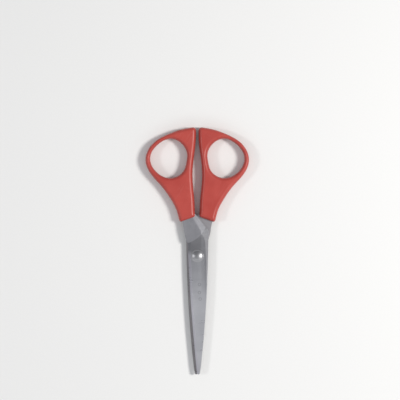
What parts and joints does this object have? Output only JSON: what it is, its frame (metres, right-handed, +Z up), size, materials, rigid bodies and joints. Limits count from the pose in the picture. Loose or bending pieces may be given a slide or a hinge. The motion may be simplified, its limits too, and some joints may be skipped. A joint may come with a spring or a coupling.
{
  "type": "scissors",
  "caption": "Small straight-edged scissors with ground stainless blades, a domed pivot rivet and red moulded finger rings.",
  "frame": {"origin": "centre of the object's box in plan, on the surface it lies on, scissors as pictured (all but closed)", "axes": "+Y from the tips to the finger rings along the centre line, +Z up from the surface, +X to the back half's ring"},
  "size_m": [0.0688, 0.1642, 0.008],
  "materials": {
    "front_blade_steel": "ground stainless, satin",
    "back_blade_steel": "ground stainless, satin",
    "front_handle_plastic": "moulded, semi-gloss",
    "back_handle_plastic": "moulded, semi-gloss",
    "rivet_steel": "polished dome",
    "washer_steel": "bright zinc"
  },
  "bodies": {
    "back_half": {"back_blade": "back_blade_steel", "back_handle": "back_handle_plastic", "pivot_rivet": "rivet_steel", "head_washer": "washer_steel", "tail_washer": "washer_steel"},
    "front_half": {"front_blade": "front_blade_steel", "front_handle": "front_handle_plastic"}
  },
  "joints": [
    {"name": "pivot", "type": "hinge", "parent": "back_half", "child": "front_half", "pos_m": [0, -0.00339, 0.004], "axis": [0, 0, 1], "range_deg": [-0.8, 75]}
  ]
}
